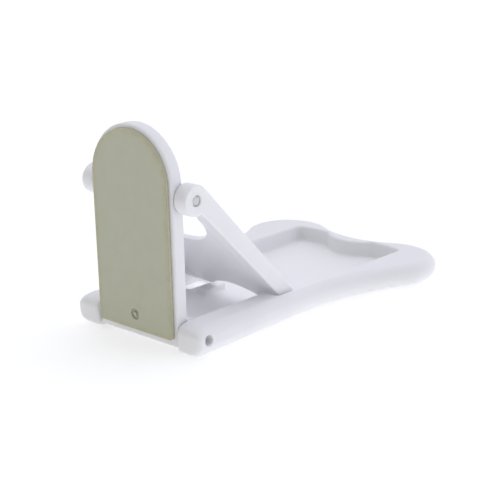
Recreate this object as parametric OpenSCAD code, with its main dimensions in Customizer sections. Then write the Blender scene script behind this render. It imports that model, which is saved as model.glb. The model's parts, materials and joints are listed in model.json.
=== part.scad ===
// Fold-out stick-on gate and door latch.
// A base plate sticks to a fixed panel, a broad arm swings out square to it,
// and a brace hinged to the plate props the arm from inside the arm's recess.
//
// Frame, in millimetres: the origin is the middle of the adhesive face.
// X runs away from the panel and along the open arm, Y runs along the hinge
// pins, and Z points up the base plate.

/* [Base plate] */
// Width of the base plate
base_w = 32; // [30:0.5:33]
// Height of the base plate, foot to top of the arch
base_h = 62.5; // [60:0.5:66]
// Thickness of the base plate
base_t = 4.3; // [4:0.1:4.5]
// Height of the hinge axis above the foot of the base plate
hinge_up = 3.7; // [3.5:0.1:3.9]
// Distance of the hinge axis behind the plate's front face
hinge_back = 3.3; // [3.1:0.1:3.4]
// Height of the brace pivot above the hinge axis
pivot_up = 39.3; // [38:0.1:40]
// Distance of the brace pivot behind the plate's back face
pivot_out = 0.3; // [0:0.1:0.3]
// Radius of the two lugs that hold the brace pins
lug_r = 2.1; // [1.9:0.1:2.1]
// Height of the round gate well above the foot of the base plate
well_up = 7; // [6:0.5:9]

/* [Adhesive pad] */
// Thickness of each adhesive film
film_t = 0.15; // [0.1:0.05:0.2]
// Thickness of the foam core
foam_t = 0.8; // [0.6:0.1:1]
// Margin of the pad inside the plate's sides and top
pad_margin = 1.2; // [0.5:0.1:1.5]
// Margin of the pad above the plate's foot
pad_foot_margin = 2.3; // [1.5:0.1:2.5]

/* [Arm] */
// Half width of the arm beside the hinge
arm_side = 25.2; // [24.6:0.2:26]
// Height of the arm at the hinge
arm_h = 9.2; // [9:0.1:9.2]
// Height of the arm at its tip
tip_h = 6.4; // [6:0.1:7]
// Depth of the arm below the hinge axis
arm_drop = 5.2; // [5.2:0.1:5.4]
// Thickness of the recess floor
floor_t = 1.5; // [1.2:0.1:1.6]
// Distance along X at which the arm starts to flare
flare_x = 47; // [40:1:55]
// Distance along X of the centre of each rounded tip corner
corner_x = 93; // [91:0.5:95]
// Distance along Y of the centre of each rounded tip corner
corner_y = 21.5; // [20.5:0.5:22.5]
// Radius of each rounded tip corner
corner_r = 15; // [14:0.5:16]
// Distance along X of the middle of the hollowed tip edge
tip_x = 102.2; // [101.5:0.1:103]
// Half width of the wide part of the recess
recess_half = 21.4; // [21.3:0.1:21.5]
// Distance along X of the shoulder where the recess widens
shoulder_x = 37.4; // [37:0.1:37.6]
// Radius of the bulge in the recess end wall
bulge_r = 12.3; // [11.5:0.1:12.5]

/* [Brace] */
// Angle of the brace below level when the arm is open
brace_angle = 46; // [45.9:0.1:46.2]
// Length of the brace, pivot to the ends of its feet
brace_l = 55; // [54.8:0.1:55.2]
// Length of the brace, pivot to the top of the arch between its feet
brace_arch_l = 50.8; // [50:0.1:51]
// Radius of the pivot bosses
boss_r = 4.5; // [4.2:0.1:4.5]
// Half width of the brace over its side rails
brace_half = 21; // [20.4:0.1:21]
// Depth of the rails' lower face below the pivot
rail_low = 1.6; // [1.5:0.1:1.7]
// Height of the rails' upper face above the pivot line, at the feet
rail_high = 3.2; // [3:0.1:3.4]
// Thickness of the web between the rails
web_t = 1.5; // [1.3:0.1:1.5]
// Distance of the window's arch centre from the pivot
window_s = 8; // [6:0.5:9]

/* [Pins] */
// Diameter of the steel pins
pin_d = 3; // [2.8:0.1:3]
// Length of the hinge pin
hinge_pin_l = 45; // [44:0.5:46]
// Length of each brace pin
brace_pin_l = 8.5; // [6.5:0.1:8.5]
// Diameter clearance of a pin in a part that turns on it
pin_play = 0.1; // [0.06:0.02:0.16]

/* [Hidden] */

$fn = 96;
eps = 0.05;
gap = 0.3;                                  // running gap between moving parts
nest = 0.5;                                 // room round the brace folded in the arm
far = 200;                                  // larger than the whole latch

pad_t = 2 * film_t + foam_t;
base_front = pad_t;
base_back = base_front + base_t;
base_foot = -base_h / 2;
base_top = base_h / 2;

hinge_x = base_front + hinge_back;
hinge_z = base_foot + hinge_up;
pivot_x = base_back + pivot_out;
pivot_z = hinge_z + pivot_up;

heel_depth = 2;                             // heel behind the plate's back face
heel_up = 3.9;                              // heel's top above the hinge axis
lug_l = 3.8;                                // length of each pin lug
well_r = 1.6;
well_depth = 0.5;

arm_low = hinge_z - arm_drop;
arm_nose = 0.3;                             // front faces of the ears
nose_top_r = 3.4;
nose_low_r = 2.5;
nose_side_r = 2.6;
ear_in = base_w / 2 + gap;
floor_top = arm_low + floor_t;
floor_setback = 4.2;                        // recess floor's edge past the hinge axis
floor_front = hinge_x + floor_setback;
folded_pivot = hinge_x + pivot_up;          // brace pivot along the folded arm
recess_end = folded_pivot + brace_l + nest;
bulge_x = folded_pivot + brace_arch_l + nest;
recess_corner_r = 2.4;
tip_r = (pow(tip_x - corner_x, 2) + pow(corner_y, 2) - pow(corner_r, 2))
    / (2 * (corner_r - (tip_x - corner_x)));
side_up = arm_side - corner_y;
side_r = (pow(corner_x - flare_x, 2) + pow(side_up, 2) - pow(corner_r, 2))
    / (2 * (corner_r - side_up));
seat_y = [7.5, 11.6];                       // each brace seat, from and to
seat_x = [37, 46];
seat_drop = 1.7;                            // seat tops below the hinge axis
seat_top = hinge_z - seat_drop;
pocket_x = [folded_pivot - boss_r - nest, folded_pivot + boss_r + nest];
pocket_in = ear_in - 2 * eps;

foot_arch_r = bulge_r + nest;
foot_corner_r = recess_corner_r + nest;
bore_r = (pin_d + pin_play) / 2;

// Points along a circular arc, from angle a to angle b
function arc(centre, r, a, b, n) = [
    for (i = [0:n])
        centre + r * [cos(a + (b - a) * i / n), sin(a + (b - a) * i / n)]
];
function mirrored(points) = [
    for (i = [len(points) - 1:-1:0]) [points[i].x, -points[i].y]
];

// A bar along Y, centred on the XZ plane
module bar(r, length) {
    rotate([90, 0, 0]) cylinder(r = r, h = length, center = true);
}

// A block from one corner to the opposite one
module block(low, high) {
    translate(low) cube(high - low);
}

// The XZ profile given as children, extruded along Y over the given width
module along_y(width) {
    rotate([90, 0, 0]) linear_extrude(width, center = true) children();
}

// ---- base plate and its adhesive pad ------------------------------------

// Arch-topped outline in Y and Z, shrunk by a side and a foot margin
module arch_outline(margin, foot_margin) {
    r = base_w / 2 - margin;
    centre_z = base_top - base_w / 2;
    translate([0, centre_z]) circle(r = r);
    translate([-r, base_foot + foot_margin])
        square([2 * r, centre_z - base_foot - foot_margin]);
}

// A layer of that outline between two distances from the wall
module arch_layer(margin, foot_margin, from, to) {
    translate([from, 0, 0]) rotate([90, 0, 90])
        linear_extrude(to - from) arch_outline(margin, foot_margin);
}

module base_plate() {
    color("white") difference() {
        union() {
            arch_layer(0, 0, base_front, base_back);
            intersection() {
                translate([hinge_x, 0, hinge_z]) bar(hinge_up, base_w);
                block([base_front, -far, -far], [far, far, far]);
            }
            block(
                [base_back - eps, -base_w / 2, base_foot],
                [base_back + heel_depth, base_w / 2, hinge_z + heel_up]
            );
            for (side = [-1, 1])
                translate([pivot_x, side * (base_w - lug_l) / 2, pivot_z])
                    bar(lug_r, lug_l);
        }
        translate([hinge_x, 0, hinge_z]) bar(pin_d / 2, far);
        for (side = [-1, 1])
            translate([pivot_x, side * (base_w / 2 - lug_l / 2 + eps), pivot_z])
                bar(pin_d / 2, lug_l + 2 * eps);
        translate([base_front - eps, 0, base_foot + well_up]) rotate([0, 90, 0])
            cylinder(r = well_r, h = well_depth + eps);
    }
}

module plate_adhesive() {
    color("gainsboro")
        arch_layer(pad_margin, pad_foot_margin, film_t + foam_t, pad_t);
}

module foam_core() {
    color("darkgray")
        arch_layer(pad_margin, pad_foot_margin, film_t, film_t + foam_t);
}

module wall_adhesive() {
    color("darkkhaki") arch_layer(pad_margin, pad_foot_margin, 0, film_t);
}

// ---- arm -------------------------------------------------------------------

// Half of the arm's outline in X and Y: ear, flare, rounded corner, tip
function arm_half() =
    let (
        side_c = [flare_x, arm_side + side_r],
        corner_c = [corner_x, corner_y],
        tip_c = [tip_x + tip_r, 0],
        to_side = atan2(side_c.y - corner_y, side_c.x - corner_x),
        to_tip = atan2(-corner_y, tip_c.x - corner_x)
    )
    concat(
        arc([arm_nose + nose_side_r, arm_side - nose_side_r], nose_side_r, 180, 90, 8),
        arc(side_c, side_r, -90, to_side - 180, 12),
        arc(corner_c, corner_r, to_side, to_tip, 28),
        arc(tip_c, tip_r, to_tip + 180, 180, 8)
    );

// Side view of the arm in X and Z: flat below, rounded nose, sloping rims
module arm_profile() {
    top = arm_low + arm_h;
    slope = (arm_h - tip_h) / (corner_x + corner_r - hinge_x);
    end = corner_x + corner_r + 1;
    polygon(concat(
        arc([arm_nose + nose_low_r, arm_low + nose_low_r], nose_low_r, -90, -180, 8),
        arc([arm_nose + nose_top_r, top - nose_top_r], nose_top_r, 180, 90, 8),
        [
            [hinge_x, top],
            [end, top - slope * (end - hinge_x)],
            [end, arm_low]
        ]
    ));
}

// Plan of the recess: narrow by the hinge, wide beyond the shoulder, with
// rounded far corners and a bulge in the middle of its end wall
module recess_plan() {
    c = [recess_end - recess_corner_r, recess_half - recess_corner_r];
    wide = concat([[shoulder_x, recess_half]], arc(c, recess_corner_r, 90, 0, 6));
    difference() {
        union() {
            polygon(concat(wide, mirrored(wide)));
            translate([floor_front - eps, -ear_in])
                square([shoulder_x - floor_front + 2 * eps, 2 * ear_in]);
        }
        translate([bulge_x + bulge_r, 0]) circle(r = bulge_r);
    }
}

module arm() {
    half = arm_half();
    color("white") difference() {
        intersection() {
            translate([0, 0, arm_low]) linear_extrude(arm_h)
                polygon(concat(half, mirrored(half)));
            along_y(far) arm_profile();
        }
        // slot between the ears for the plate's foot
        block(
            [-eps, -ear_in, arm_low - eps],
            [floor_front, ear_in, arm_low + arm_h + eps]
        );
        difference() {
            translate([0, 0, floor_top]) linear_extrude(arm_h) recess_plan();
            for (side = [0, 1]) mirror([0, side, 0])
                block(
                    [seat_x[0], seat_y[0], floor_top - eps],
                    [seat_x[1], seat_y[1], seat_top]
                );
        }
        // pockets that take the brace bosses when the latch is folded
        for (side = [0, 1]) mirror([0, side, 0])
            block(
                [pocket_x[0], pocket_in, arm_low - eps],
                [pocket_x[1], recess_half, floor_top + eps]
            );
        translate([hinge_x, 0, hinge_z]) bar(bore_r, far);
    }
}

// ---- brace ------------------------------------------------------------------

// Side view of one rail, pivot at the origin, X towards the foot
module rail_profile() {
    polygon([
        [0, -rail_low],
        [brace_l, -rail_low],
        [brace_l, rail_high],
        [0, boss_r]
    ]);
}

// What rounding takes off the outer corner of a foot, in the brace's own frame
module foot_corner() {
    c = [brace_l - foot_corner_r, brace_half - foot_corner_r];
    translate([0, 0, -far / 2]) linear_extrude(far) difference() {
        translate(c) square(2 * foot_corner_r);
        translate(c) circle(r = foot_corner_r);
    }
}

module brace() {
    rail_in = ear_in;
    rail_w = brace_half - rail_in;
    color("white") translate([pivot_x, 0, pivot_z]) rotate([0, brace_angle, 0])
        difference() {
            union() {
                for (side = [-1, 1])
                    translate([0, side * (rail_in + rail_w / 2), 0]) {
                        along_y(rail_w) rail_profile();
                        bar(boss_r, rail_w);
                    }
                block(
                    [window_s, -rail_in - eps, -rail_low],
                    [brace_l, rail_in + eps, -rail_low + web_t]
                );
            }
            // window that clears the plate's arch when folded
            translate([window_s, 0, -rail_low - eps])
                cylinder(r = rail_in, h = web_t + 2 * eps);
            // arch between the feet, which fits round the bulge when folded
            translate([brace_arch_l + foot_arch_r, 0, -rail_low - eps])
                cylinder(r = foot_arch_r, h = web_t + 2 * eps);
            for (side = [0, 1]) mirror([0, side, 0]) foot_corner();
            bar(bore_r, far);
        }
}

// ---- pins ---------------------------------------------------------------------

module hinge_pin() {
    color("silver") translate([hinge_x, 0, hinge_z]) bar(pin_d / 2, hinge_pin_l);
}

// One brace pin, its inner end in the bottom of the plate's lug
module brace_pin(side) {
    inner = base_w / 2 - lug_l;
    color("silver") translate([pivot_x, side * (inner + brace_pin_l / 2), pivot_z])
        bar(pin_d / 2, brace_pin_l);
}

module brace_pin_left() {
    brace_pin(-1);
}

module brace_pin_right() {
    brace_pin(1);
}

base_plate();
plate_adhesive();
foam_core();
wall_adhesive();
arm();
brace();
hinge_pin();
brace_pin_left();
brace_pin_right();
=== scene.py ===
"""Looks for the fold-out stick-on latch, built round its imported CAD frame.

Each visible piece is a signed distance field with rounded edges, turned into
a mesh whose normals are the field's own. Lengths in this script are
millimetres in the part's own frame until they reach a mesh, a material or
the camera.
"""

import json
import math

import bpy
import numpy as np
from mathutils import Matrix, Vector


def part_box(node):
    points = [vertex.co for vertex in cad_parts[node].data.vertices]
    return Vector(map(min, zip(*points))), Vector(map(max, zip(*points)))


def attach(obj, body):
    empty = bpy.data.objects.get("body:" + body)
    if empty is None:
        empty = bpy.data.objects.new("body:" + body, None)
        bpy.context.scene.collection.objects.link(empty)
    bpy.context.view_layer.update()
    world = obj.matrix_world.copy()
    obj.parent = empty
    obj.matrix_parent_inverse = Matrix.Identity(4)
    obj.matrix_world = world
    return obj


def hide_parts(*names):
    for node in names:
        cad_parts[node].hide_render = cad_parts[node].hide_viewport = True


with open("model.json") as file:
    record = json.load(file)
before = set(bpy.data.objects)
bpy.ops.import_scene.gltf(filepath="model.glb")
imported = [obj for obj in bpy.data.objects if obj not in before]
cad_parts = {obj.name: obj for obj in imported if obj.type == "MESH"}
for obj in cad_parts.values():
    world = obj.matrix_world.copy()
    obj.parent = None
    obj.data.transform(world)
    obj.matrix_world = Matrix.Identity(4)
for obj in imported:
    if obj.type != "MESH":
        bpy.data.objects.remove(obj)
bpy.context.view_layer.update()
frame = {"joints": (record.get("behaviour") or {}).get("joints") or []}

MM = 0.001


# ---- dimensions: boxes and axes from the frame, details given -----------------

def node_box(node):
    """Lowest and highest corner of a CAD node, in millimetres."""
    low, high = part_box(node)
    return np.array(low) / MM, np.array(high) / MM


def joint_place(name):
    """Place of a joint's axis, in millimetres."""
    found = next(j for j in frame["joints"] if j["name"] == name)
    return np.array(found["pos_m"]) / MM


PLATE_LOW, PLATE_HIGH = node_box("base_plate")
ARM_LOW, ARM_HIGH = node_box("arm")
FOAM_LOW, FOAM_HIGH = node_box("foam_core")
BRACE_HALF = node_box("brace")[1][1]
HINGE_X, _, HINGE_Z = joint_place("arm_fold")
PIVOT_X, _, PIVOT_Z = joint_place("brace_fold")

PLATE_R = PLATE_HIGH[1]                      # half width and arch radius
PIVOT_OUT = 0.3                              # brace pivot behind the plate's back face
PLATE_FRONT, PLATE_BACK = PLATE_LOW[0], PIVOT_X - PIVOT_OUT
FOOT, TOP = PLATE_LOW[2], PLATE_HIGH[2]
ARCH_Z = TOP - PLATE_R
BARREL_R = HINGE_Z - FOOT
PLATE_FOOT_R = 1.0                           # plate's lower corners, seen from the front
HEEL_DEPTH = 2.0
HEEL_UP = 3.9
LUG_R, LUG_L = 2.1, 3.8
WELL_UP = 7.0                                # gate well's centre above the plate's foot
WELL_R, WELL_DEPTH = 1.6, 0.5
DIMPLE_DEPTH = 0.5                           # how far the pad sinks into the gate well
DIMPLE_R, DIMPLE_WIDTH = 1.1, 0.45           # the ring in which it sinks

GAP = 0.3                                    # running gap between moving parts
EAR_IN = PLATE_R + GAP
UNDER = ARM_LOW[2]
ARM_H = ARM_HIGH[2] - UNDER
TIP_H = 6.4
NOSE_X = ARM_LOW[0]                          # front faces of the ears
NOSE_TOP_R, NOSE_LOW_R, NOSE_SIDE_R = 3.4, 2.2, 1.5
RIM_TOP_R, RIM_LOW_R = 3.6, 4.4              # outer edges, above and below
ARM_SIDE = 25.2                              # half width before the flare
FLARE_X = 47.0
CORNER_R = 15.0                              # tip's corners, seen from above
CORNER_X, CORNER_Y = ARM_HIGH[0] - CORNER_R, ARM_HIGH[1] - CORNER_R
TIP_X = 102.2                                # middle of the hollowed tip
FLOOR_T = 1.5
FLOOR_TOP = UNDER + FLOOR_T
FLOOR_FRONT = HINGE_X + 4.2
SHOULDER_X = 37.4
RECESS_HALF = BRACE_HALF + 0.4
FOLDED_PIVOT = HINGE_X + PIVOT_Z - HINGE_Z   # brace pivot along the folded arm
BRACE_L, BRACE_ARCH_L = 55.0, 50.8
NEST = 0.5                                   # room round the brace folded in the arm
POCKET_IN = EAR_IN - 0.2                     # room for the bosses inside the folded arm
RECESS_END = FOLDED_PIVOT + BRACE_L + NEST
BULGE_X = FOLDED_PIVOT + BRACE_ARCH_L + NEST
BULGE_R = 12.3
RECESS_CORNER_R = 2.4
RECESS_FLOOR_R, RECESS_EDGE_R = 0.7, 0.8
SEAT_X, SEAT_Y = (37.0, 46.0), (7.5, 11.6)
SEAT_TOP = HINGE_Z - 1.7

BRACE_ANGLE = math.radians(46)               # slope at rest, down towards the feet
BOSS_R = 4.5
RAIL_LOW, RAIL_HIGH = 1.6, 3.2
WEB_T = 1.5
WINDOW_S = 8.0
FOOT_ARCH_R = BULGE_R + NEST
FOOT_CORNER_R = 2.1                          # outer corners of the brace's feet

PIN_R = 1.5
BORE_R = 1.55
FINE_R = 0.3                                 # small edges that have no radius of their own
MOUTH_R = 0.35                               # mouth of a bore


# ---- distance fields ----------------------------------------------------------

def both(a, b, r):
    """What lies inside a and b, its edge rounded to radius r."""
    sharp = np.minimum(np.maximum(a, b), -r)
    return sharp + np.hypot(np.maximum(a + r, 0), np.maximum(b + r, 0))


def either(a, b, r):
    """What lies inside a or b, its inner corner filled to radius r."""
    return -both(-a, -b, r)


def without(a, b, r):
    """What lies inside a and outside b, its edge rounded to radius r."""
    return both(a, -b, r)


def slab(v, low, high):
    """Distance outside the span from low to high."""
    return np.maximum(low - v, v - high)


def side_of(x, y, start, end):
    """Above 0 to the left of the line from start to end."""
    return (end[0] - start[0]) * (y - start[1]) - (end[1] - start[1]) * (x - start[0])


def arm_plan(x, y):
    """Outline of the arm from above: straight, flared, rounded, hollowed tip."""
    y = np.abs(y)
    side_up = ARM_SIDE - CORNER_Y
    side_r = (((CORNER_X - FLARE_X) ** 2 + side_up ** 2 - CORNER_R ** 2)
              / (2 * (CORNER_R - side_up)))
    reach = TIP_X - CORNER_X
    tip_r = (reach ** 2 + CORNER_Y ** 2 - CORNER_R ** 2) / (2 * (CORNER_R - reach))
    side_c = (FLARE_X, ARM_SIDE + side_r)
    corner_c = (CORNER_X, CORNER_Y)
    tip_c = (TIP_X + tip_r, 0.0)
    side = side_r - np.hypot(x - side_c[0], y - side_c[1])
    corner = np.hypot(x - corner_c[0], y - corner_c[1]) - CORNER_R
    tip = tip_r - np.hypot(x - tip_c[0], y - tip_c[1])
    past_side = side_of(x, y, side_c, corner_c) > 0
    past_corner = side_of(x, y, corner_c, tip_c) < 0
    bend = np.where(past_side, np.where(past_corner, tip, corner), side)
    return np.maximum(np.where(x < FLARE_X, y - ARM_SIDE, bend), tip)


def rim_z(x):
    """Height of the arm's rim, which slopes down towards the tip."""
    slope = (ARM_H - TIP_H) / (ARM_HIGH[0] - HINGE_X)
    return UNDER + ARM_H - slope * np.maximum(x - HINGE_X, 0)


def nose(x, z, rim):
    """What lies behind the ears' front faces, which curve back above and below."""
    most, least = 0.98, 0.5                  # keep the slope finite where a curve ends
    above = np.clip((z - rim) / NOSE_TOP_R + 1, 0, most)
    below = np.clip((UNDER - z) / NOSE_LOW_R + 1, 0, most)
    rise, fall = np.sqrt(1 - above ** 2), np.sqrt(1 - below ** 2)
    front = NOSE_X + NOSE_TOP_R * (1 - rise) + NOSE_LOW_R * (1 - fall)
    return (front - x) * np.maximum(rise * fall, least)


def recess_plan(x, y):
    """Outline of the recess, with the bulge in the middle of its end wall."""
    y = np.abs(y)
    wide = both(y - RECESS_HALF, x - RECESS_END, RECESS_CORNER_R)
    wide = both(wide, SHOULDER_X - x, 0.6)
    narrow = np.maximum(y - EAR_IN, x - RECESS_END)
    bulge = np.hypot(x - BULGE_X - BULGE_R, y) - BULGE_R
    return without(either(wide, narrow, 0.8), bulge, 0.5)


def arm_field(x, y, z):
    """The arm: rim, recess, slot for the plate's foot, seats and pockets."""
    plan = arm_plan(x, y)
    rim = rim_z(x)
    top = both(plan, z - rim, RIM_TOP_R)
    low = both(plan, UNDER - z, np.minimum(RIM_LOW_R, rim - UNDER - RIM_TOP_R))
    body = both(np.maximum(top, low), nose(x, z, rim), NOSE_SIDE_R)
    recess = both(recess_plan(x, y), FLOOR_TOP - z, RECESS_FLOOR_R)
    seat = both(slab(x, *SEAT_X), slab(np.abs(y), *SEAT_Y), 0.5)
    seat = both(seat, z - SEAT_TOP, 0.35)
    recess = without(recess, seat, FINE_R)
    slot = both(x - FLOOR_FRONT, np.abs(y) - EAR_IN, 0.4)
    body = without(body, either(recess, slot, FINE_R), RECESS_EDGE_R)
    pocket_x = slab(x, FOLDED_PIVOT - BOSS_R - NEST, FOLDED_PIVOT + BOSS_R + NEST)
    pocket = both(pocket_x, slab(np.abs(y), POCKET_IN, RECESS_HALF), 0.6)
    body = without(body, np.maximum(pocket, z - FLOOR_TOP - 1), FINE_R)
    bore = np.hypot(x - HINGE_X, z - HINGE_Z) - BORE_R
    return without(body, bore, MOUTH_R)


def brace_field(x, y, z):
    """The brace, in its own frame: pivot at the origin and X towards its feet."""
    side = np.abs(y)
    rail_y = slab(side, EAR_IN, BRACE_HALF)
    slope = (BOSS_R - RAIL_HIGH) / BRACE_L
    rail_x = both(-x, x - BRACE_L, FINE_R)
    rail_z = np.maximum(-RAIL_LOW - z, z - BOSS_R + slope * x)
    boss = np.hypot(x, z) - BOSS_R
    bar = np.minimum(np.maximum(rail_x, rail_z), boss)
    rail = both(rail_y, bar, 0.45)
    web_plan = both(EAR_IN - np.hypot(x - WINDOW_S, y), x - BRACE_L, FINE_R)
    web_plan = np.maximum(web_plan, WINDOW_S - x)
    arch = np.hypot(x - BRACE_ARCH_L - FOOT_ARCH_R, y) - FOOT_ARCH_R
    web_plan = without(web_plan, arch, 0.4)
    web_z = slab(z, -RAIL_LOW, WEB_T - RAIL_LOW)
    web = both(np.maximum(web_plan, side - EAR_IN - 1), web_z, FINE_R)
    body = either(rail, web, 0.5)
    corner = both(x - BRACE_L, side - BRACE_HALF, FOOT_CORNER_R)
    body = both(body, corner, FINE_R)
    bore = np.hypot(x, z) - BORE_R
    return without(body, bore, MOUTH_R)


def arch_plan(y, z, margin, foot_margin):
    """Arch-topped outline of the base plate, shrunk by its margins."""
    r = PLATE_R - margin
    sides = np.where(z > ARCH_Z, np.hypot(y, z - ARCH_Z), np.abs(y)) - r
    return both(sides, FOOT + foot_margin - z, PLATE_FOOT_R)


def plate_field(x, y, z):
    """The base plate, with its heel, hinge barrel and pin lugs."""
    plate = both(arch_plan(y, z, 0, 0), slab(x, PLATE_FRONT, PLATE_BACK), 0.7)
    inside = np.abs(y) - PLATE_R
    heel = both(x - PLATE_BACK - HEEL_DEPTH, z - HINGE_Z - HEEL_UP, 0.6)
    heel = np.maximum(both(heel, FOOT - z, 0.6), PLATE_FRONT + 1 - x)
    barrel = np.hypot(x - HINGE_X, z - HINGE_Z) - BARREL_R
    barrel = np.maximum(barrel, PLATE_FRONT + 1 - x)
    heel = both(np.minimum(heel, barrel), inside, 0.4)
    lug = np.hypot(x - PIVOT_X, z - PIVOT_Z) - LUG_R
    lug = np.maximum(lug, PLATE_FRONT + 1 - x)
    lug = both(lug, slab(np.abs(y), PLATE_R - LUG_L, PLATE_R), FINE_R)
    body = either(np.minimum(plate, heel), lug, 0.5)
    hinge_bore = np.hypot(x - HINGE_X, z - HINGE_Z) - PIN_R
    body = without(body, hinge_bore, 0.2)
    brace_bore = np.hypot(x - PIVOT_X, z - PIVOT_Z) - PIN_R
    brace_bore = np.maximum(brace_bore, PLATE_R - LUG_L - np.abs(y))
    body = without(body, brace_bore, 0.2)
    well = np.hypot(y, z - FOOT - WELL_UP) - WELL_R
    return without(body, np.maximum(well, x - PLATE_FRONT - WELL_DEPTH), 0.2)


# ---- fields to meshes --------------------------------------------------------

def surface_net(field, low, high, step):
    """Points and quads of the surface where the field is 0, on a grid of that step."""
    axes = [np.arange(a - 2 * s, b + 2.5 * s, s) for a, b, s in zip(low, high, step)]
    grid = np.meshgrid(*axes, indexing="ij", sparse=True)
    value = np.broadcast_to(field(*grid), [len(a) for a in axes])
    cells = np.array(value.shape) - 1
    offset = np.zeros((*cells, 3))
    count = np.zeros(cells)
    crossings = []
    for axis in range(3):
        u, v = (axis + 1) % 3, (axis + 2) % 3
        start = np.moveaxis(value, axis, 0)[:-1]
        end = np.moveaxis(value, axis, 0)[1:]
        crossed = np.moveaxis((start < 0) != (end < 0), 0, axis)
        share = np.moveaxis(start / np.where(start == end, 1, start - end), 0, axis)
        crossings.append((crossed, np.moveaxis(start < 0, 0, axis)))
        for du in (0, 1):
            for dv in (0, 1):
                part = [slice(None)] * 3
                part[u] = slice(du, du + cells[u])
                part[v] = slice(dv, dv + cells[v])
                here = crossed[tuple(part)]
                offset[..., axis] += np.where(here, share[tuple(part)], 0)
                offset[..., u] += here * du
                offset[..., v] += here * dv
                count += here
    active = count > 0
    number = np.full(cells, -1)
    number[active] = np.arange(active.sum())
    corner = np.array([a[0] for a in axes])
    points = corner + step * (np.argwhere(active) + offset[active] / count[active][:, None])
    quads = []
    for axis, (crossed, from_inside) in enumerate(crossings):
        u, v = (axis + 1) % 3, (axis + 2) % 3
        at = np.argwhere(crossed)
        out = from_inside[tuple(at.T)]
        step_u, step_v = np.eye(3, dtype=int)[u], np.eye(3, dtype=int)[v]
        ring = [at - step_u - step_v, at - step_v, at, at - step_u]
        quad = np.stack([number[tuple(c.T)] for c in ring], axis=1)
        quads.append(np.where(out[:, None], quad, quad[:, ::-1]))
    return points, np.concatenate(quads)


def slope_of(field, points):
    """Gradient of the field at each point."""
    reach = 0.02
    columns = []
    for axis in range(3):
        shift = np.zeros(3)
        shift[axis] = reach
        ahead, behind = points + shift, points - shift
        columns.append((field(*ahead.T) - field(*behind.T)) / (2 * reach))
    return np.stack(columns, axis=1)


def settle(field, points, rounds, most):
    """Moves points onto the surface, each by at most the given length a round."""
    flattest = 0.05                          # a flatter field counts as this steep
    for _ in range(rounds):
        slope = slope_of(field, points)
        size = np.maximum((slope ** 2).sum(axis=1), flattest)
        move = -(field(*points.T) / size)[:, None] * slope
        length = np.linalg.norm(move, axis=1, keepdims=True)
        points = points + move * np.minimum(1, most / np.maximum(length, 1e-9))
    return points


def fill_mesh(mesh, points, faces):
    """Puts points and faces with a fixed number of corners in an empty mesh."""
    corners = faces.shape[1]
    mesh.vertices.add(len(points))
    mesh.vertices.foreach_set("co", points.astype(np.float32).ravel())
    mesh.loops.add(faces.size)
    mesh.loops.foreach_set("vertex_index", faces.astype(np.int32).ravel())
    mesh.polygons.add(len(faces))
    mesh.polygons.foreach_set("loop_start", np.arange(len(faces), dtype=np.int32) * corners)
    mesh.update(calc_edges=True)


def moulded(name, field, box, step, faces, place=Matrix.Identity(4)):
    """A mesh object of a field, thinned to about the given count of faces."""
    low, high = box
    step = np.broadcast_to(step, 3)
    points, quads = surface_net(field, low, high, step)
    points = settle(field, points, 3, step.min() / 2)
    mesh = bpy.data.meshes.new(name)
    fill_mesh(mesh, points, quads)
    piece = bpy.data.objects.new(name, mesh)
    bpy.context.scene.collection.objects.link(piece)
    thin = piece.modifiers.new("thin", "DECIMATE")
    thin.ratio = min(1, faces / (2 * len(quads)))
    depsgraph = bpy.context.evaluated_depsgraph_get()
    thinned = bpy.data.meshes.new_from_object(piece.evaluated_get(depsgraph))
    piece.modifiers.clear()
    piece.data = thinned
    bpy.data.meshes.remove(mesh)
    thinned.name = name
    points = np.empty(len(thinned.vertices) * 3, np.float32)
    thinned.vertices.foreach_get("co", points)
    points = settle(field, points.reshape(-1, 3).astype(float), 2, step.min() / 4)
    slope = slope_of(field, points)
    normals = slope / np.maximum(np.linalg.norm(slope, axis=1, keepdims=True), 1e-9)
    turn = np.array(place.to_3x3())
    points = (points @ turn.T + np.array(place.translation)) * MM
    thinned.vertices.foreach_set("co", points.astype(np.float32).ravel())
    thinned.polygons.foreach_set("use_smooth", np.ones(len(thinned.polygons), bool))
    thinned.normals_split_custom_set_from_vertices(normals @ turn.T)
    thinned.update()
    return piece


# ---- materials ------------------------------------------------------------------

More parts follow.
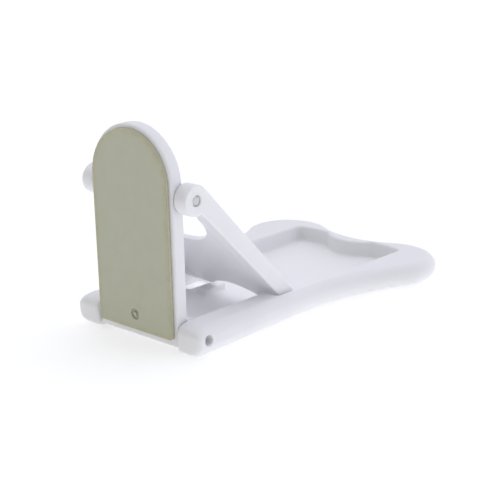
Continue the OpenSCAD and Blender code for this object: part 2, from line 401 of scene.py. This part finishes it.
class Nodes:
    """Short calls for building a node material."""

    def __init__(self, name):
        self.material = bpy.data.materials.new(name)
        self.material.use_nodes = True
        self.tree = self.material.node_tree
        self.shader = self.tree.nodes["Principled BSDF"]
        self.place = self.add("ShaderNodeTexCoord").outputs["Object"]

    def add(self, kind, **settings):
        """A new node; each setting is an input's value or else a property."""
        node = self.tree.nodes.new(kind)
        for key, value in settings.items():
            if key in node.inputs:
                node.inputs[key].default_value = value
            else:
                setattr(node, key, value)
        return node

    def join(self, output, target):
        """Links one node's output to another's input."""
        self.tree.links.new(output, target)

    def noise(self, scale, detail=3.0, stretch=None):
        """Noise whose cells are about 1/scale metres across."""
        node = self.add("ShaderNodeTexNoise", Scale=scale, Detail=detail)
        if stretch:
            mapping = self.add("ShaderNodeMapping", Scale=stretch)
            self.join(self.place, mapping.inputs["Vector"])
            self.join(mapping.outputs["Vector"], node.inputs["Vector"])
        else:
            self.join(self.place, node.inputs["Vector"])
        return node.outputs["Fac"]

    def ramp(self, source, low, high, start=0.3, end=0.7):
        """Maps a value to between two colours or two numbers."""
        if isinstance(low, tuple):
            node = self.add("ShaderNodeMix", data_type="RGBA")
            fac = self.add("ShaderNodeMapRange", **{"From Min": start, "From Max": end})
            self.join(source, fac.inputs["Value"])
            self.join(fac.outputs["Result"], node.inputs[0])
            node.inputs[6].default_value = (*low, 1)
            node.inputs[7].default_value = (*high, 1)
            return node.outputs[2]
        node = self.add("ShaderNodeMapRange", **{
            "From Min": start, "From Max": end, "To Min": low, "To Max": high})
        self.join(source, node.inputs["Value"])
        return node.outputs["Result"]

    def mix(self, share, first, second):
        """The first colour where share is 0 and the second where it is 1."""
        node = self.add("ShaderNodeMix", data_type="RGBA")
        self.join(share, node.inputs[0])
        self.join(first, node.inputs[6])
        self.join(second, node.inputs[7])
        return node.outputs[2]

    def maths(self, operation, first, second=0.0):
        """A Math node; each input is an output of another node or a number."""
        node = self.add("ShaderNodeMath", operation=operation)
        for value, socket in ((first, node.inputs[0]), (second, node.inputs[1])):
            if isinstance(value, float):
                socket.default_value = value
            else:
                self.join(value, socket)
        return node.outputs[0]

    def from_pad_edge(self, near, far):
        """0 within near of the pad's edge, rising to 1 at far inside it, in metres."""
        split = self.add("ShaderNodeSeparateXYZ")
        self.join(self.place, split.inputs[0])
        y, z = split.outputs["Y"], split.outputs["Z"]
        above = self.maths("MAXIMUM", self.maths("SUBTRACT", z, ARCH_Z * MM), 0.0)
        square = self.maths("ADD", self.maths("MULTIPLY", y, y),
                            self.maths("MULTIPLY", above, above))
        side = self.maths("SUBTRACT", FOAM_HIGH[1] * MM, self.maths("SQRT", square))
        foot = self.maths("SUBTRACT", z, FOAM_LOW[2] * MM)
        node = self.add("ShaderNodeMapRange", interpolation_type="SMOOTHSTEP",
                        **{"From Min": near, "From Max": far})
        self.join(self.maths("MINIMUM", side, foot), node.inputs["Value"])
        return node.outputs["Result"]

    def bump(self, height, distance, after=None):
        """A normal bumped by a height, on top of another bump where one is given."""
        node = self.add("ShaderNodeBump", Distance=distance, Strength=1.0)
        self.join(height, node.inputs["Height"])
        if after is not None:
            self.join(after, node.inputs["Normal"])
        return node.outputs["Normal"]


def white_plastic(name, low, high):
    """Glossy moulded plastic: faint flow marks, orange peel and uneven gloss.

    Its roughness stays above 0.28. The renderer's denoiser changes its way of
    working just below that, and a surface on both sides of it shows specks.
    """
    made = Nodes(name)
    shader = made.shader
    flow = made.noise(38, 4.0, (1.0, 2.4, 1.0))
    made.join(made.ramp(flow, low, high), shader.inputs["Base Color"])
    made.join(made.ramp(made.noise(350, 4.0), 0.3, 0.38), shader.inputs["Roughness"])
    made.join(made.bump(made.noise(240, 2.0), 0.000008), shader.inputs["Normal"])
    shader.inputs["IOR"].default_value = 1.49
    shader.inputs["Subsurface Weight"].default_value = 0.5
    shader.inputs["Subsurface Radius"].default_value = (1, 1, 0.9)
    shader.inputs["Subsurface Scale"].default_value = 2 * MM
    return made.material


def adhesive_film():
    """Olive-grey acrylic film: mottled, stippled, and yellower near its edge."""
    made = Nodes("adhesive_film_look")
    mottle = made.ramp(made.noise(220, 5.0), (0.525, 0.535, 0.405), (0.545, 0.555, 0.425))
    edge = made.ramp(made.noise(400, 4.0), (0.5, 0.49, 0.33), (0.56, 0.55, 0.385))
    colour = made.mix(made.from_pad_edge(0.7 * MM, 1.9 * MM), edge, mottle)
    made.join(colour, made.shader.inputs["Base Color"])
    made.join(made.ramp(made.noise(900, 4.0), 0.42, 0.62), made.shader.inputs["Roughness"])
    wave = made.bump(made.noise(160, 2.0), 0.00002)
    made.join(made.bump(made.noise(1400, 3.0), 0.000003, after=wave),
              made.shader.inputs["Normal"])
    return made.material


def foam():
    """Closed-cell foam: fine dark and light cells."""
    made = Nodes("foam_look")
    cells = made.add("ShaderNodeTexVoronoi", Scale=4200.0)
    made.join(made.place, cells.inputs["Vector"])
    colour = made.ramp(cells.outputs["Distance"], (0.46, 0.45, 0.33), (0.6, 0.59, 0.45),
                       start=0.1, end=0.7)
    made.join(colour, made.shader.inputs["Base Color"])
    made.join(made.ramp(made.noise(1500), 0.75, 0.95), made.shader.inputs["Roughness"])
    made.join(made.bump(cells.outputs["Distance"], 0.00005), made.shader.inputs["Normal"])
    return made.material


def steel():
    """Drawn steel wire: fine lines along its length and uneven gloss."""
    made = Nodes("steel_look")
    shader = made.shader
    lines = made.noise(3000, 3.0, (1.0, 0.05, 1.0))
    made.join(made.ramp(lines, (0.5, 0.5, 0.51), (0.66, 0.66, 0.68)), shader.inputs["Base Color"])
    made.join(made.ramp(made.noise(1200, 4.0), 0.22, 0.4), shader.inputs["Roughness"])
    made.join(made.bump(lines, 0.00001), shader.inputs["Normal"])
    shader.inputs["Metallic"].default_value = 1.0
    return made.material


# ---- pieces -----------------------------------------------------------------------

def add_piece(piece, body, slot, look, *nodes):
    """Gives a piece its body and material, in place of its CAD nodes."""
    piece.data.materials.clear()
    piece.data.materials.append(look)
    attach(piece, body)
    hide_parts(*nodes)
    return piece


def pin_field(centre, low, high):
    """A pin along Y with chamfered ends."""
    leg = 0.3                                # length of the chamfer along each face

    def field(x, y, z):
        shaft = np.hypot(x - centre[0], z - centre[1]) - PIN_R
        ends = slab(y, low, high)
        chamfer = (shaft + ends + leg) * math.sqrt(0.5)
        return np.maximum(both(shaft, ends, 0.08), chamfer)
    return field


def make_pin(node, look):
    """The steel pin that takes the place of a CAD pin."""
    low, high = node_box(node)
    centre = ((low[0] + high[0]) / 2, (low[2] + high[2]) / 2)
    field = pin_field(centre, low[1], high[1])
    pin = moulded(node + "_steel", field, (low, high), step=0.2, faces=9000)
    return add_piece(pin, "base", "steel", look, node)


def layer_field(node, margin, foot_margin, edge_r):
    """One layer of the adhesive pad, sunk in a ring over the gate well.

    The films are thinner than the ring is deep, and their meshes have small
    gaps in its slopes.
    """
    low, high = node_box(node)

    def field(x, y, z):
        away = np.hypot(y, z - FOOT - WELL_UP)
        ring = DIMPLE_DEPTH * np.exp(-((away - DIMPLE_R) / DIMPLE_WIDTH) ** 2)
        film = slab(x - ring, low[0], high[0])
        return both(arch_plan(y, z, margin, foot_margin), film, edge_r)
    return field


def make_pad(film_look, foam_look):
    """The three layers of the pad, on a grid that is finest across them."""
    step = (0.05, 0.24, 0.24)
    margin = PLATE_R - FOAM_HIGH[1]
    foot_margin = FOAM_LOW[2] - FOOT
    layers = [
        ("wall_film", "wall_adhesive", "adhesive", film_look, 0.05),
        ("pad_foam", "foam_core", "foam", foam_look, 0.15),
        ("plate_film", "plate_adhesive", "adhesive", film_look, 0.05),
    ]
    for name, node, slot, look, edge_r in layers:
        field = layer_field(node, margin, foot_margin, edge_r)
        low, high = node_box(node)
        box = (low, high + [DIMPLE_DEPTH, 0, 0])
        piece = moulded(name, field, box, step, faces=14000)
        add_piece(piece, "base", slot, look, node)


def make_latch():
    """All nine pieces of the latch."""
    white = white_plastic("white_plastic_look", (0.915, 0.915, 0.94), (0.935, 0.935, 0.96))
    tilt = Matrix.Translation((PIVOT_X, 0, PIVOT_Z)) @ Matrix.Rotation(BRACE_ANGLE, 4, "Y")
    plate_box, arm_box = (PLATE_LOW, PLATE_HIGH), (ARM_LOW, ARM_HIGH)
    brace_box = ([-BOSS_R, -BRACE_HALF, -BOSS_R], [BRACE_L, BRACE_HALF, BOSS_R])
    plate = moulded("base_plate_shell", plate_field, plate_box, step=0.36, faces=30000)
    arm = moulded("arm_shell", arm_field, arm_box, step=0.42, faces=50000)
    brace = moulded("brace_shell", brace_field, brace_box, 0.3, 36000, place=tilt)
    add_piece(plate, "base", "white_plastic", white, "base_plate")
    add_piece(arm, "arm", "white_plastic", white, "arm")
    add_piece(brace, "brace", "white_plastic", white, "brace")
    make_pad(adhesive_film(), foam())
    pin_look = steel()
    for node in ("hinge_pin", "brace_pin_left", "brace_pin_right"):
        make_pin(node, pin_look)


# ---- stage, light and camera ------------------------------------------------------

def make_floor():
    """A plain pale floor just under the arm, with its edges far away."""
    half = 40.0                              # metres
    mesh = bpy.data.meshes.new("floor")
    corners = [(-half, -half), (half, -half), (half, half), (-half, half)]
    mesh.from_pydata([(x, y, 0) for x, y in corners], [], [(0, 1, 2, 3)])
    floor = bpy.data.objects.new("floor", mesh)
    floor.location.z = (UNDER - 0.02) * MM
    bpy.context.scene.collection.objects.link(floor)
    made = Nodes("floor_look")
    shade = made.ramp(made.noise(3.0), (0.9, 0.9, 0.9), (0.92, 0.92, 0.92))
    made.join(shade, made.shader.inputs["Base Color"])
    made.shader.inputs["Roughness"].default_value = 0.9
    made.shader.inputs["Specular IOR Level"].default_value = 0.1
    made.shader.inputs["Emission Color"].default_value = (1, 1, 1, 1)
    made.shader.inputs["Emission Strength"].default_value = 0.34
    mesh.materials.append(made.material)


def soft_sun(name, towards, spread, power):
    """Broad even light from one direction, as through a large diffuser."""
    data = bpy.data.lights.new(name, "SUN")
    data.angle = math.radians(spread)
    data.energy = power
    light = bpy.data.objects.new(name, data)
    light.rotation_euler = Vector(towards).to_track_quat("Z", "Y").to_euler()
    bpy.context.scene.collection.objects.link(light)


def make_light():
    """A studio world that brightens from -X towards +X, and two broad suns."""
    world = bpy.data.worlds.new("studio")
    world.use_nodes = True
    tree = world.node_tree
    place = tree.nodes.new("ShaderNodeTexCoord")
    across = tree.nodes.new("ShaderNodeSeparateXYZ")
    share = tree.nodes.new("ShaderNodeMapRange")
    share.interpolation_type = "SMOOTHSTEP"
    share.inputs["From Min"].default_value = -0.9
    share.inputs["From Max"].default_value = 0.3
    tint = tree.nodes.new("ShaderNodeMix")
    tint.data_type = "RGBA"
    tint.inputs[6].default_value = (0.12, 0.115, 0.09, 1)
    tint.inputs[7].default_value = (0.76, 0.77, 0.86, 1)
    tree.links.new(place.outputs["Generated"], across.inputs[0])
    tree.links.new(across.outputs["X"], share.inputs["Value"])
    tree.links.new(share.outputs["Result"], tint.inputs[0])
    tree.links.new(tint.outputs[2], tree.nodes["Background"].inputs["Color"])
    bpy.context.scene.world = world
    soft_sun("top_light", (0, 0, 1), spread=80, power=0.5)
    soft_sun("back_light", (-0.5, 0.6, 0.8), spread=70, power=0.25)
    bpy.context.scene.view_settings.view_transform = "Standard"


def make_camera():
    """The camera at the photograph's viewing angle, from a fit to the latch's edges."""
    place = Vector((-251.8, -274.6, 116.5))
    data = bpy.data.cameras.new("camera")
    data.sensor_width = 36
    data.lens = 99.7
    azimuth, elevation, roll = (math.radians(a) for a in (-47.66, 18.24, -1.34))
    back = Vector((math.sin(azimuth) * math.cos(elevation),
                   -math.cos(azimuth) * math.cos(elevation), math.sin(elevation)))
    level = Vector((math.cos(azimuth), math.sin(azimuth), 0))
    upright = back.cross(level)
    right = level * math.cos(roll) + upright * math.sin(roll)
    up = upright * math.cos(roll) - level * math.sin(roll)
    turn = Matrix((right, up, back)).transposed().to_4x4()
    camera = bpy.data.objects.new("camera", data)
    camera.matrix_world = Matrix.Translation(place * MM) @ turn
    data.clip_start, data.clip_end = 0.02, 100
    bpy.context.scene.collection.objects.link(camera)
    bpy.context.scene.camera = camera


make_latch()
make_floor()
make_light()
make_camera()
